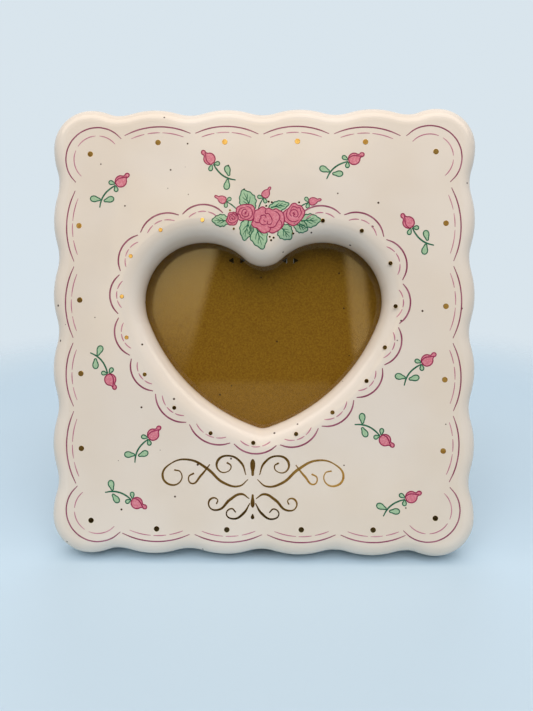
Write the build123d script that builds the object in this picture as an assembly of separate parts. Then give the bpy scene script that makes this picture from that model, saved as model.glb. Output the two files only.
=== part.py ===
from build123d import *
import os
from math import acos, cos, degrees, radians, sin, sqrt, tan

# Tabletop picture frame: a slip-cast, glazed ceramic body with a scalloped edge and a heart-shaped window whose
# rim rolls inwards, a clear pane and a hardboard back held in a pocket behind it by four turn buttons, and a
# hinged hardboard leg that props the frame up. All lengths are millimetres, all angles degrees.
# The frame is drawn upright, front face on the XZ plane and its back towards +Y, then leant back onto the leg.

# Ceramic outline, measured over the tops of the scallops
FRAME_WIDTH = 190.0
FRAME_HEIGHT = 200.5
SCALLOPS_PER_SIDE = 4
SCALLOP_DEPTH = 2.4
SCALLOP_VALLEY_SHARE = 0.35
CORNER_RADIUS = 17.5
CORNER_SPAN_X = 30.0
CORNER_SPAN_Z = 33.2
FRONT_EDGE_ROLL = 7.0
REAR_EDGE_ROLL = 3.5
CASTING_WALL = 4.5
POUR_HOLE_RADIUS = 4.0
GROUND_FLAT = 0.4

# Heart window, all tangent arcs
LOBE_SPACING = 54.6
LOBE_RADIUS = 27.0
CLEFT_RADIUS = 12.5
FLANK_RADIUS = 82.0
TIP_RADIUS = 8.0
HEART_HEIGHT = 85.2
HEART_TOP_DROP = 58.9
WINDOW_ROLL = 9.0
LIP_WALL = 7.5
LIP_BACK_ROLL = 6.0

# Pocket behind the window and what lies in it
REBATE_SIDE = 11.0
REBATE_TOP = 10.5
REBATE_BOTTOM = 10.5
POCKET_CORNER = 6.0
POCKET_MOUTH_ROUND = 0.8
POCKET_CLEARANCE = 0.5
PANE_THICKNESS = 2.0
PRINT_GAP = 0.7
BOARD_THICKNESS = 3.0

# How it stands
LEAN = 14.0
LEG_OPENING = 27.0

# Easel hinge: two stamped leaves on a pin, each with lanced teeth clinched through its board
HINGE_DROP = 17.0
HINGE_WIDTH = 36.0
CENTRE_KNUCKLE = 18.0
LEAF_THICKNESS = 0.7
LEAF_LENGTH = 17.0
LEAF_CORNER = 4.0
LEG_LEAF_WIDTH = 32.0
PIN_RADIUS = 1.0
PIN_END = 0.5
PIN_FIT = 0.02
PIN_RUNNING_FIT = 0.05
KNUCKLE_GAP = 0.3
LEAF_GAP = 0.25
STOP_TAIL = 6.5
STOP_GAP = 0.15
TOOTH_PAIR_OFFSET = 12.6
TOOTH_PAIR_SPAN = 3.8
TOOTH_WIDTH = 2.2
TOOTH_THICKNESS = 0.5
TOOTH_CLINCH = 1.8
TOOTH_POINT = 0.4
TOOTH_CLEARANCE = 0.1
TOOTH_ROW = 9.0

# Easel leg
LEG_THICKNESS = 3.0
LEG_TOP_WIDTH = 40.0
LEG_FOOT_WIDTH = 58.0
LEG_TOP_CORNER = 5.0
LEG_TOP_GAP = 0.8

# Turn buttons, their screws and the plugs in the ceramic
BUTTON_INSET = 13.0
BUTTON_EDGE_GAP = 7.5
BUTTON_HUB_RADIUS = 5.5
BUTTON_TIP_RADIUS = 3.6
BUTTON_REACH = 16.0
BUTTON_THICKNESS = 1.2
BUTTON_ROUND = 0.35
BUTTON_GAP = 0.15
SCREW_RADIUS = 1.5
SCREW_RUNNING_FIT = 0.05
SCREW_PLUG_FIT = 0.02
SCREW_HEAD_RADIUS = 3.2
SCREW_HEAD_HEIGHT = 2.0
SCREW_HEAD_ROUND = 1.4
SCREW_HEAD_GAP = 0.1
SCREW_SLOT_WIDTH = 0.9
SCREW_SLOT_DEPTH = 0.8
PLUG_RADIUS = 3.3
PLUG_LENGTH = 12.0
PLUG_BORE_SPARE = 1.0
PLUG_CEMENT = 0.1

# Depths behind the front face, from the window's rim to the flat back
seat_y = WINDOW_ROLL + LIP_WALL
pane_back_y = seat_y + PANE_THICKNESS
board_front_y = pane_back_y + PRINT_GAP
body_depth = board_front_y + BOARD_THICKNESS
back_plane = Plane(origin=(0, body_depth, 0), x_dir=(1, 0, 0), z_dir=(0, -1, 0))


def tangent_loop(nodes, heading):
    """Closed wire of circular arcs through the nodes, each arc leaving along the last one's end tangent."""
    edges = []
    for start, end in zip(nodes, nodes[1:]):
        arc = TangentArc(start, end, tangent=heading)
        heading = arc % 1
        edges.append(arc)
    return Wire(edges)


# Scalloped outline: every half wave, from the top of a scallop down to a valley, is two tangent arcs that meet on
# the line between them. The last valley of each side lies a corner span from the end, and a lobe fills the corner.
half_w, half_h = FRAME_WIDTH / 2, FRAME_HEIGHT / 2


def side_nodes(half_length, span, height):
    """Nodes along one side, left to right: corner lobe, valleys and scallops, corner lobe."""
    pitch = 2 * (half_length - span) / SCALLOPS_PER_SIDE
    tops = [-half_length + CORNER_RADIUS]
    tops += [-half_length + span + pitch * (i + 0.5) for i in range(SCALLOPS_PER_SIDE)]
    tops += [half_length - CORNER_RADIUS]
    valleys = [-half_length + span + pitch * i for i in range(SCALLOPS_PER_SIDE + 1)]
    nodes = [(tops[0], height)]
    for i, valley in enumerate(valleys):
        low = height - SCALLOP_DEPTH
        rise = SCALLOP_DEPTH * SCALLOP_VALLEY_SHARE
        nodes.append((valley + (tops[i] - valley) * SCALLOP_VALLEY_SHARE, low + rise))
        nodes.append((valley, low))
        nodes.append((valley + (tops[i + 1] - valley) * SCALLOP_VALLEY_SHARE, low + rise))
        nodes.append((tops[i + 1], height))
    return nodes


top_side = side_nodes(half_w, CORNER_SPAN_X, half_h)
right_side = side_nodes(half_h, CORNER_SPAN_Z, half_w)
outline_nodes = top_side
outline_nodes += [(height, -along) for along, height in right_side]
outline_nodes += [(-along, -height) for along, height in side_nodes(half_w, CORNER_SPAN_X, half_h)]
outline_nodes += [(-height, along) for along, height in right_side]
outline_nodes += [outline_nodes[0]]
outline = Pos(0, half_h) * make_face(tangent_loop(outline_nodes, (1, 0)))

# Heart: two lobes joined by the rounded cleft, each running into a flank arc that closes on the rounded tip
heart_width = LOBE_SPACING + 2 * LOBE_RADIUS
heart_top = FRAME_HEIGHT - HEART_TOP_DROP
lobe = Vector(LOBE_SPACING / 2, -LOBE_RADIUS)
tip = Vector(0, -HEART_HEIGHT + TIP_RADIUS)
cleft_reach = LOBE_RADIUS + CLEFT_RADIUS
cleft = lobe + Vector(-lobe.X, sqrt(cleft_reach**2 - lobe.X**2))
to_tip = tip - lobe
lobe_gap = FLANK_RADIUS - LOBE_RADIUS
tip_gap = FLANK_RADIUS - TIP_RADIUS
swing = acos((lobe_gap**2 + to_tip.length**2 - tip_gap**2) / (2 * lobe_gap * to_tip.length))
flank = lobe + to_tip.normalized().rotate(Axis.Z, -degrees(swing)) * lobe_gap
cleft_end = cleft + (lobe - cleft).normalized() * CLEFT_RADIUS
lobe_end = lobe + (lobe - flank).normalized() * LOBE_RADIUS
tip_start = tip + (tip - flank).normalized() * TIP_RADIUS
right_half = [
    cleft - Vector(0, CLEFT_RADIUS),
    cleft_end,
    lobe + Vector(0, LOBE_RADIUS),
    lobe_end,
    tip_start,
    tip - Vector(0, TIP_RADIUS),
]
left_half = [Vector(-node.X, node.Y) for node in reversed(right_half)]
heart_wire = tangent_loop(right_half + left_half[1:], (1, 0))
heart = Pos(0, heart_top) * make_face(heart_wire)

# Pocket for the pane and the board, a lip wider than the heart all round
pocket_width = heart_width + 2 * REBATE_SIDE
pocket_top = heart_top + REBATE_TOP
pocket_bottom = heart_top - HEART_HEIGHT - REBATE_BOTTOM
pocket_height = pocket_top - pocket_bottom
pocket_z = (pocket_top + pocket_bottom) / 2
pocket = Pos(0, pocket_z) * RectangleRounded(pocket_width, pocket_height, POCKET_CORNER)
insert = Pos(0, pocket_z) * RectangleRounded(
    pocket_width - 2 * POCKET_CLEARANCE,
    pocket_height - 2 * POCKET_CLEARANCE,
    POCKET_CORNER - POCKET_CLEARANCE,
)

# Turn buttons sit outside the pocket's top and bottom edges, two on each, clear of the leg
button_x = pocket_width / 2 - BUTTON_INSET
button_spots = {
    "top_left": (button_x, pocket_top + BUTTON_EDGE_GAP, -1),
    "top_right": (-button_x, pocket_top + BUTTON_EDGE_GAP, -1),
    "bottom_left": (button_x, pocket_bottom - BUTTON_EDGE_GAP, 1),
    "bottom_right": (-button_x, pocket_bottom - BUTTON_EDGE_GAP, 1),
}
socket_radius = PLUG_RADIUS + PLUG_CEMENT
socket_depth = PLUG_LENGTH + PLUG_CEMENT


def behind(y):
    """Drawing plane parallel to the front face, at a depth behind it, seen from the front."""
    return Plane(origin=(0, y, 0), x_dir=(1, 0, 0), z_dir=(0, -1, 0))


# Ceramic body: scalloped slab with its front edge rolled over and a soft back edge. The heart's rim rolls into the
# window and back out again behind it, down to the seat that the pane lies on.
body = extrude(Plane.XZ * outline, amount=-body_depth)
front_face = body.faces().sort_by(Axis.Y)[0]
back_face = body.faces().sort_by(Axis.Y)[-1]
body = fillet(front_face.edges(), FRONT_EDGE_ROLL)
back_face = body.faces().sort_by(Axis.Y)[-1]
body = fillet(back_face.edges(), REAR_EDGE_ROLL)
body -= extrude(Plane.XZ * heart, amount=-body_depth)
front_face = body.faces().sort_by(Axis.Y)[0]
body = fillet(front_face.inner_wires()[0].edges(), WINDOW_ROLL)
body -= extrude(behind(seat_y) * pocket, amount=-(body_depth - seat_y))
seat_face = body.faces().filter_by(Axis.Y).sort_by(lambda face: abs(face.center().Y - seat_y))[0]
body = fillet(seat_face.inner_wires()[0].edges(), min(LIP_BACK_ROLL, 0.8 * LIP_WALL))
back_face = body.faces().sort_by(Axis.Y)[-1]
body = fillet(back_face.inner_wires()[0].edges(), POCKET_MOUTH_ROUND)
for x, z, _ in button_spots.values():
    body -= extrude(back_plane * Pos(x, z) * Circle(socket_radius), amount=socket_depth)

# Slip drains out of the mould and leaves the body hollow, an even wall inside every face: round the outline, the
# window's rim, the pocket and the sockets. The pour hole is in the underside.
rim_flare = WINDOW_ROLL - sqrt(WINDOW_ROLL**2 - (WINDOW_ROLL - CASTING_WALL) ** 2)
hollow_depth = body_depth - 2 * CASTING_WALL
hollow = extrude(behind(CASTING_WALL) * offset(outline, amount=-CASTING_WALL), amount=-hollow_depth)
hollow = fillet(hollow.faces().sort_by(Axis.Y)[0].edges(), FRONT_EDGE_ROLL - CASTING_WALL)
hollow -= extrude(behind(0) * offset(heart, amount=CASTING_WALL + rim_flare), amount=-body_depth)
pocket_wall = offset(pocket, amount=CASTING_WALL)
hollow -= extrude(behind(seat_y - CASTING_WALL) * pocket_wall, amount=-body_depth)
for x, z, _ in button_spots.values():
    socket_wall = Circle(socket_radius + CASTING_WALL)
    hollow -= extrude(back_plane * Pos(x, z) * socket_wall, amount=socket_depth + CASTING_WALL)
body -= hollow
pour_length = SCALLOP_DEPTH + 2 * CASTING_WALL
pour_hole = Cylinder(POUR_HOLE_RADIUS, pour_length, align=(Align.CENTER, Align.CENTER, Align.MIN))
body -= Pos(0, body_depth / 2, 0) * pour_hole

pane = extrude(behind(seat_y) * insert, amount=-PANE_THICKNESS)

# Hinge pin: below the tooth row that shows through the pane, just clear of the board's back
barrel_radius = PIN_RADIUS + PIN_RUNNING_FIT + LEAF_THICKNESS
pin_y = body_depth + barrel_radius + LEAF_GAP
tooth_z = pocket_top - POCKET_CLEARANCE - HINGE_DROP
pin_z = tooth_z - TOOTH_ROW
tooth_spots = [
    (side * (TOOTH_PAIR_OFFSET + end * TOOTH_PAIR_SPAN / 2), side * end)
    for side in (-1, 1)
    for end in (-1, 1)
]
tooth_slot = Rectangle(TOOTH_THICKNESS + 2 * TOOTH_CLEARANCE, TOOTH_WIDTH + 2 * TOOTH_CLEARANCE)

board = extrude(behind(board_front_y) * insert, amount=-BOARD_THICKNESS)
for x, _ in tooth_spots:
    board -= extrude(behind(board_front_y) * Pos(x, tooth_z) * tooth_slot, amount=-BOARD_THICKNESS)


def barrel(start, end, bore):
    """Rolled knuckle along X about the pin, from start to end."""
    ring = Circle(barrel_radius) - Circle(bore)
    return extrude(Plane(origin=(start, 0, 0), x_dir=(0, 1, 0), z_dir=(1, 0, 0)) * ring, amount=end - start)


def bore_cut(bore):
    """Cylinder along X that clears the pin's hole through leaf and knuckles."""
    return Rot(0, 90, 0) * Cylinder(bore, HINGE_WIDTH)


def tooth(x, out, thickness):
    """Lanced tooth: straight through the board, then turned flat on the far side, pointed, away from its twin."""
    shank = Pos(x, 0, 0) * Box(
        TOOTH_THICKNESS, thickness + TOOTH_THICKNESS, TOOTH_WIDTH, align=(Align.CENTER, Align.MAX, Align.CENTER)
    )
    half_root, half_point = TOOTH_WIDTH / 2, TOOTH_POINT / 2
    flat = make_face(
        Polyline(
            (x, half_root),
            (x + out * TOOTH_CLINCH, half_point),
            (x + out * TOOTH_CLINCH, -half_point),
            (x, -half_root),
            close=True,
        )
    )
    return shank + extrude(behind(-thickness - TOOTH_THICKNESS) * flat, amount=-TOOTH_THICKNESS)


def lanced_windows():
    """Openings that the teeth leave in their leaf, one between each pair."""
    gap = TOOTH_PAIR_SPAN - TOOTH_THICKNESS
    window = Box(gap, 4 * LEAF_THICKNESS, TOOTH_WIDTH)
    return Pos(-TOOTH_PAIR_OFFSET, 0, 0) * window + Pos(TOOTH_PAIR_OFFSET, 0, 0) * window


# Fixed leaf: flat on the board above the pin, its two outer knuckles gripping the pin, cut away round the middle one
pin_to_board = pin_y - body_depth
half_hinge, half_centre = HINGE_WIDTH / 2, CENTRE_KNUCKLE / 2
notch_height = barrel_radius + KNUCKLE_GAP
leaf = Rectangle(HINGE_WIDTH, LEAF_LENGTH, align=(Align.CENTER, Align.MIN))
leaf = fillet(leaf.vertices().group_by(Axis.Y)[-1], LEAF_CORNER)
leaf -= Rectangle(CENTRE_KNUCKLE + 2 * KNUCKLE_GAP, 2 * notch_height)
board_leaf = extrude(behind(-pin_to_board) * leaf, amount=-LEAF_THICKNESS)
board_leaf += barrel(-half_hinge, -half_centre - KNUCKLE_GAP, PIN_RADIUS + PIN_FIT)
board_leaf += barrel(half_centre + KNUCKLE_GAP, half_hinge, PIN_RADIUS + PIN_FIT)
board_leaf -= bore_cut(PIN_RADIUS + PIN_FIT)
board_leaf -= Pos(0, -pin_to_board, TOOTH_ROW) * lanced_windows()
for x, out in tooth_spots:
    board_leaf += Pos(0, -pin_to_board, TOOTH_ROW) * tooth(x, out, BOARD_THICKNESS)
board_leaf = Pos(0, pin_y, pin_z) * board_leaf

pin = Pos(0, pin_y, pin_z) * Rot(0, 90, 0) * Cylinder(PIN_RADIUS, HINGE_WIDTH + 2 * PIN_END)

# Moving leaf, drawn closed against the board: middle knuckle, a neck that widens below the outer knuckles, and a
# tail above the pin, cranked back by the leg's opening so that it meets the fixed leaf when the leg is open
leg_leaf_back = -pin_to_board + LEAF_GAP + LEAF_THICKNESS
neck = Rectangle(CENTRE_KNUCKLE, LEAF_LENGTH, align=(Align.CENTER, Align.MAX))
wide = Pos(0, -notch_height) * Rectangle(
    LEG_LEAF_WIDTH, LEAF_LENGTH - notch_height, align=(Align.CENTER, Align.MAX)
)
wide = fillet(wide.vertices(), LEAF_CORNER * 0.5)
leg_leaf = extrude(behind(leg_leaf_back) * (neck + wide), amount=LEAF_THICKNESS)
tail_back = -pin_to_board + LEAF_THICKNESS + STOP_GAP + LEAF_THICKNESS
tail = Rectangle(CENTRE_KNUCKLE, STOP_TAIL, align=(Align.CENTER, Align.MIN))
tail = fillet(tail.vertices().group_by(Axis.Y)[-1], LEAF_CORNER * 0.5)
leg_leaf += Rot(-LEG_OPENING, 0, 0) * extrude(behind(tail_back) * tail, amount=LEAF_THICKNESS)
leg_leaf += barrel(-half_centre, half_centre, PIN_RADIUS + PIN_RUNNING_FIT)
leg_leaf -= bore_cut(PIN_RADIUS + PIN_RUNNING_FIT)
leg_leaf -= Pos(0, leg_leaf_back, -TOOTH_ROW) * lanced_windows()
for x, out in tooth_spots:
    leg_leaf += Pos(0, leg_leaf_back, -TOOTH_ROW) * Rot(0, 0, 180) * tooth(x, out, LEG_THICKNESS)

# Where the floor lies under the leaning frame: the back edge's roll, ground a little flat, is the lowest point
lowest = -(body_depth - REAR_EDGE_ROLL) * sin(radians(LEAN)) + REAR_EDGE_ROLL * (cos(radians(LEAN)) - 1)
floor_z = lowest + GROUND_FLAT
pin_height = pin_z * cos(radians(LEAN)) - pin_y * sin(radians(LEAN)) - floor_z
leg_reach = pin_height / cos(radians(LEG_OPENING - LEAN))

# Leg: tapered hardboard on the back of the moving leaf, drawn closed, overlong by a foot that the floor trims
leg_top = notch_height + LEG_TOP_GAP
foot_spare = 3 * LEG_THICKNESS
flare = (LEG_FOOT_WIDTH - LEG_TOP_WIDTH) / 2 * (1 + foot_spare / (leg_reach - leg_top))
leg_face = make_face(
    Polyline(
        (-LEG_TOP_WIDTH / 2, -leg_top),
        (LEG_TOP_WIDTH / 2, -leg_top),
        (LEG_TOP_WIDTH / 2 + flare, -leg_reach - foot_spare),
        (-LEG_TOP_WIDTH / 2 - flare, -leg_reach - foot_spare),
        close=True,
    )
)
leg_face = fillet(leg_face.vertices().group_by(Axis.Y)[-1], LEG_TOP_CORNER)
leg = extrude(behind(leg_leaf_back) * leg_face, amount=-LEG_THICKNESS)
for x, _ in tooth_spots:
    leg -= extrude(behind(leg_leaf_back) * Pos(x, -TOOTH_ROW) * tooth_slot, amount=-LEG_THICKNESS)

# Leg and its leaf swung open about the pin
opened = Pos(0, pin_y, pin_z) * Rot(LEG_OPENING, 0, 0)
leg = opened * leg
leg_leaf = opened * leg_leaf

# Turn buttons: a hub on the screw and a tapering arm over the board's edge
hub_and_tip = Circle(BUTTON_HUB_RADIUS).edges() + (Pos(0, BUTTON_REACH) * Circle(BUTTON_TIP_RADIUS)).edges()
button_face = make_hull(hub_and_tip)
button = extrude(behind(0) * button_face, amount=-BUTTON_THICKNESS)
button = fillet(button.faces().sort_by(Axis.Y)[-1].edges(), BUTTON_ROUND)
button -= extrude(behind(0) * Circle(SCREW_RADIUS + SCREW_RUNNING_FIT), amount=-BUTTON_THICKNESS)
buttons = {}
for name, (x, z, arm) in button_spots.items():
    turned = Rot(0, 0 if arm > 0 else 180, 0)
    buttons[name] = Pos(x, body_depth + BUTTON_GAP, z) * turned * button

# Round-head screws through the buttons into their plugs
head_y = body_depth + BUTTON_GAP + BUTTON_THICKNESS + SCREW_HEAD_GAP
head = Cylinder(SCREW_HEAD_RADIUS, SCREW_HEAD_HEIGHT, align=(Align.CENTER, Align.CENTER, Align.MIN))
head = fillet(head.faces().sort_by(Axis.Z)[-1].edges(), SCREW_HEAD_ROUND)
head -= Pos(0, 0, SCREW_HEAD_HEIGHT) * Box(2 * SCREW_HEAD_RADIUS, SCREW_SLOT_WIDTH, 2 * SCREW_SLOT_DEPTH)
screw_length = head_y - body_depth + PLUG_LENGTH - PLUG_BORE_SPARE
screw = head + Cylinder(SCREW_RADIUS, screw_length, align=(Align.CENTER, Align.CENTER, Align.MAX))
plug = Cylinder(PLUG_RADIUS, PLUG_LENGTH, align=(Align.CENTER, Align.CENTER, Align.MAX))
plug -= Cylinder(SCREW_RADIUS + SCREW_PLUG_FIT, PLUG_LENGTH, align=(Align.CENTER, Align.CENTER, Align.MAX))
screws = Part() + [Pos(x, head_y, z) * Rot(-90, 0, 0) * screw for x, z, _ in button_spots.values()]
plugs = Part() + [Pos(x, body_depth, z) * Rot(-90, 0, 0) * plug for x, z, _ in button_spots.values()]

# Lean everything back, set it on the floor and trim what stands on it
lean = Pos(0, 0, -floor_z) * Rot(-LEAN, 0, 0)
below = Box(4 * FRAME_WIDTH, 4 * FRAME_HEIGHT, 4 * FRAME_HEIGHT, align=(Align.CENTER, Align.CENTER, Align.MAX))
body = lean * body - below
leg = lean * leg - below
pieces = {
    "ceramic_front": body,
    "glass_pane": lean * pane,
    "back_board": lean * board,
    "board_hinge_leaf": lean * board_leaf,
    "hinge_pin": lean * pin,
    "leg_hinge_leaf": lean * leg_leaf,
    "easel_leg": leg,
    "turn_button_screws": lean * screws,
    "screw_plugs": lean * plugs,
}
for name, shape in buttons.items():
    pieces["turn_button_" + name] = lean * shape

# Origin at the middle of the footprint of the whole frame
boxes = [shape.bounding_box() for shape in pieces.values()]
middle_y = (min(box.min.Y for box in boxes) + max(box.max.Y for box in boxes)) / 2

os.makedirs("parts", exist_ok=True)
for name, shape in pieces.items():
    export_step(Pos(0, -middle_y, 0) * shape, os.path.join("parts", name + ".step"))

# Places of the joints and feet, in the finished frame
to_floor = Pos(0, -middle_y, 0) * lean
pivot = (to_floor * Pos(0, pin_y, pin_z)).position
foot_y = pivot.Y + pin_height * tan(radians(LEG_OPENING - LEAN))
print("pin axis", [round(v, 4) for v in pivot])
print("leg foot below the pin at y", round(foot_y, 3), "leg reach", round(leg_reach, 3))
for name, (x, z, _) in button_spots.items():
    spot = (to_floor * Pos(x, body_depth, z)).position
    print("turn button", name, [round(v, 4) for v in spot])
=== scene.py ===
from math import atan2, cos, dist, pi, radians, sin

import bpy
from mathutils import Matrix, Vector


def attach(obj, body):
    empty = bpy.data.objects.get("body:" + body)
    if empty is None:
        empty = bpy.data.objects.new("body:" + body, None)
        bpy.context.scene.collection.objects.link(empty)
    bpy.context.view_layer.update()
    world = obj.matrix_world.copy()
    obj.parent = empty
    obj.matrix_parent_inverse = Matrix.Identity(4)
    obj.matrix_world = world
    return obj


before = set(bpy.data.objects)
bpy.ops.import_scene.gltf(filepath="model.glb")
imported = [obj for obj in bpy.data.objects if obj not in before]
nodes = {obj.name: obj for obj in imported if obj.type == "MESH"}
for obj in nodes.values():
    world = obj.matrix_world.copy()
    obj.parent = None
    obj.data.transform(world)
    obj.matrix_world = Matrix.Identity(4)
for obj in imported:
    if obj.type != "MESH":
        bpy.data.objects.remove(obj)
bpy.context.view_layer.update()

# Ceramic front: slip-cast earthenware, hollow, dipped in a warm cream glaze that breaks into small brown
# specks. The six spots that it stands on were wiped bare before firing. It leans back on its leg, so
# the face has a drawing frame of its own: across, up the face, and out of it.
MM = 0.001
LEAN = radians(14.0)
FACE_FOOT = Vector((0.0, -42.556, 4.228)) * MM
face_to_frame = Matrix.Translation(FACE_FOOT) @ Matrix.Rotation(pi / 2 - LEAN, 4, "X")


def tone(red, green, blue):
    """Linear colour for a tone given as it looks on a screen, 0 to 255."""
    shares = [part / 255 for part in (red, green, blue)]
    linear = [((share + 0.055) / 1.055) ** 2.4 if share > 0.04045 else share / 12.92 for share in shares]
    return (*linear, 1.0)


def new_finish(name):
    """A new material, with its node tree and its shader."""
    material = bpy.data.materials.new(name)
    material.use_nodes = True
    tree = material.node_tree
    return material, tree, tree.nodes["Principled BSDF"]


def add_node(tree, kind, settings=None, **inputs):
    """Adds a shader node with its settings; inputs go by name, or by number as i0, and may be links."""
    node = tree.nodes.new(kind)
    for key, value in (settings or {}).items():
        setattr(node, key, value)
    for key, value in inputs.items():
        by_number = key[0] == "i" and key[1:].isdigit()
        socket = node.inputs[int(key[1:]) if by_number else key.replace("_", " ")]
        if isinstance(value, bpy.types.NodeSocket):
            tree.links.new(value, socket)
        else:
            socket.default_value = value
    return node


def mixed(tree, factor, first, second):
    """Colour mix of two tones or links."""
    node = add_node(tree, "ShaderNodeMix", {"data_type": "RGBA"}, i0=factor, i6=first, i7=second)
    return node.outputs[2]


def ramped(tree, value, low, high):
    """0 below low, 1 above high, smooth between; the other way round where low is the larger."""
    smooth = {"interpolation_type": "SMOOTHSTEP"}
    node = add_node(tree, "ShaderNodeMapRange", smooth, Value=value, From_Min=low, From_Max=high)
    return node.outputs["Result"]


def spread(tree, value, least, most, low=0.0, high=1.0):
    """Takes a value between low and high evenly to one between the least and the most."""
    ends = {"From_Min": low, "From_Max": high, "To_Min": least, "To_Max": most}
    return add_node(tree, "ShaderNodeMapRange", Value=value, **ends).outputs["Result"]


def own_place(tree):
    """Place on the piece, in its own coordinates."""
    return add_node(tree, "ShaderNodeTexCoord").outputs["Object"]


def clouds(tree, scale, detail, roughness=0.5):
    """Cloudy pattern of 0 to 1 over a piece."""
    look = {"Scale": scale, "Detail": detail, "Roughness": roughness}
    return add_node(tree, "ShaderNodeTexNoise", Vector=own_place(tree), **look).outputs["Fac"]


def scatter(tree, scale):
    """Distance from the nearest of many points scattered over a piece."""
    return add_node(tree, "ShaderNodeTexVoronoi", Vector=own_place(tree), Scale=scale).outputs["Distance"]


def wear_finish(node_name, material):
    """Gives a CAD node its finish."""
    slots = nodes[node_name].data.materials
    slots.clear()
    slots.append(material)


GLAZE_CREAM = tone(233, 222, 209)
GLAZE_POOLED = tone(229, 216, 200)
GLAZE_SPECK = tone(70, 50, 38)
BARE_CLAY = tone(205, 176, 148)
GLAZE_ROUGHNESS = 0.1
CLAY_ROUGHNESS = 0.75
POOL_CLOUDS = (22.0, 2.0)
POOL_RANGE = (0.35, 0.7)
SPECK_SCALE = 108.0
SPECK_RANGE = (0.062, 0.046)
WIPED_RANGE = (0.7 * MM, 0.2 * MM)
RIPPLE_CLOUDS = (95.0, 1.0)
RIPPLE_STRENGTH = 0.06
RIPPLE_DEPTH = 2.0 * MM
ceramic = nodes["ceramic_front"]
cream_glaze, tree, shader = new_finish("cream_glaze")
pooled = ramped(tree, clouds(tree, *POOL_CLOUDS), *POOL_RANGE)
specked = ramped(tree, scatter(tree, SPECK_SCALE), *SPECK_RANGE)
height = add_node(tree, "ShaderNodeSeparateXYZ", Vector=own_place(tree)).outputs["Z"]
wiped = ramped(tree, height, *WIPED_RANGE)
glazed = mixed(tree, specked, mixed(tree, pooled, GLAZE_CREAM, GLAZE_POOLED), GLAZE_SPECK)
tree.links.new(mixed(tree, wiped, glazed, BARE_CLAY), shader.inputs["Base Color"])
gloss = spread(tree, wiped, GLAZE_ROUGHNESS, CLAY_ROUGHNESS)
tree.links.new(gloss, shader.inputs["Roughness"])
ripples = clouds(tree, *RIPPLE_CLOUDS)
relief = add_node(tree, "ShaderNodeBump", Height=ripples, Strength=RIPPLE_STRENGTH, Distance=RIPPLE_DEPTH)
tree.links.new(relief.outputs["Normal"], shader.inputs["Normal"])
wear_finish("ceramic_front", cream_glaze)

# Scallop lines round the border: one mauve enamel line in each scallop and a broken pink one inside it,
# printed as a transfer and fired into the glaze. Each line is a thin ribbon laid on the face.
LINE_WIDTH = 0.57
LINE_GAP = 2.2
LINE_LIFT = 0.05
LINE_POINTS = 7
LINE_END_SHARE = 0.55
DASH_WIDTH = 0.44
DASH_INSET = 2.6
DASH_LIFT = 0.045
DASH_POINTS = 4
BORDER_BULGE = 0.106
BORDER_CUSPS = [
    [(82.2, 33.4), (84.0, 64.6), (83.7, 96.5), (83.9, 130.3), (82.8, 164.7)],
    [(61.6, 186.4), (30.3, 187.5), (-0.8, 187.5), (-30.9, 188.0), (-62.4, 187.1)],
    [(-83.3, 163.8), (-83.8, 130.2), (-84.1, 96.3), (-83.8, 65.8), (-82.7, 31.5)],
    [(-63.0, 10.7), (-30.8, 10.4), (1.3, 10.6), (33.7, 10.8), (64.4, 10.9)],
]
CORNER_RADIUS = 14.0
CORNER_CENTRES = [(73.3, 176.8), (-73.5, 176.7), (-73.0, 20.8), (73.0, 22.0)]
CORNER_TURN = radians(43.5)
CORNER_HALF_SPAN = radians(93.5)
CORNER_POINTS = 11
SIDE_DASHES = [(0.08, 0.42), (0.46, 0.66), (0.71, 0.93)]
CORNER_DASHES = [(0.0, 0.24), (0.29, 0.57), (0.63, 1.0)]
CORNER_DASH_INSET = 3.65
CORNER_DASH_POINTS = 6
CURVE_STEPS = 5
STAND_OFF = 5.0
ENAMEL_SINK = 0.03
ENAMEL_ROUGHNESS = 0.16
SHADING_ANGLE = radians(40)
INK_DETAIL = 3.0
INK_RANGE = (0.42, 0.68)
MAUVE = tone(140, 65, 93)
MAUVE_THIN = tone(166, 101, 122)
MAUVE_GRAIN = 120.0
PINK = tone(186, 116, 138)
PINK_THIN = tone(206, 150, 162)
PINK_GRAIN = 160.0


def active_alone(piece):
    """Selects one object and nothing else."""
    bpy.ops.object.select_all(action="DESELECT")
    piece.select_set(True)
    bpy.context.view_layer.objects.active = piece


def new_curve(points, closed):
    """A Bezier curve through points of the flat drawing, in millimetres across and up."""
    bpy.ops.object.select_all(action="DESELECT")
    bpy.ops.curve.primitive_bezier_curve_add()
    curve = bpy.context.object
    spline = curve.data.splines[0]
    spline.bezier_points.add(len(points) - 2)
    spline.use_cyclic_u = closed
    for knot, point in zip(spline.bezier_points, points):
        knot.co = (point[0] * MM, point[1] * MM, 0.0)
        knot.handle_left_type = "AUTO"
        knot.handle_right_type = "AUTO"
    return curve


def face_up(piece):
    """Turns over the faces of a flat drawing that look down."""
    active_alone(piece)
    bpy.ops.object.mode_set(mode="EDIT")
    bpy.ops.mesh.select_mode(type="FACE")
    bpy.ops.mesh.select_all(action="DESELECT")
    bpy.ops.object.mode_set(mode="OBJECT")
    for face in piece.data.polygons:
        face.select = face.normal.z < 0
    bpy.ops.object.mode_set(mode="EDIT")
    bpy.ops.mesh.flip_normals()
    bpy.ops.object.mode_set(mode="OBJECT")
    return piece


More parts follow.
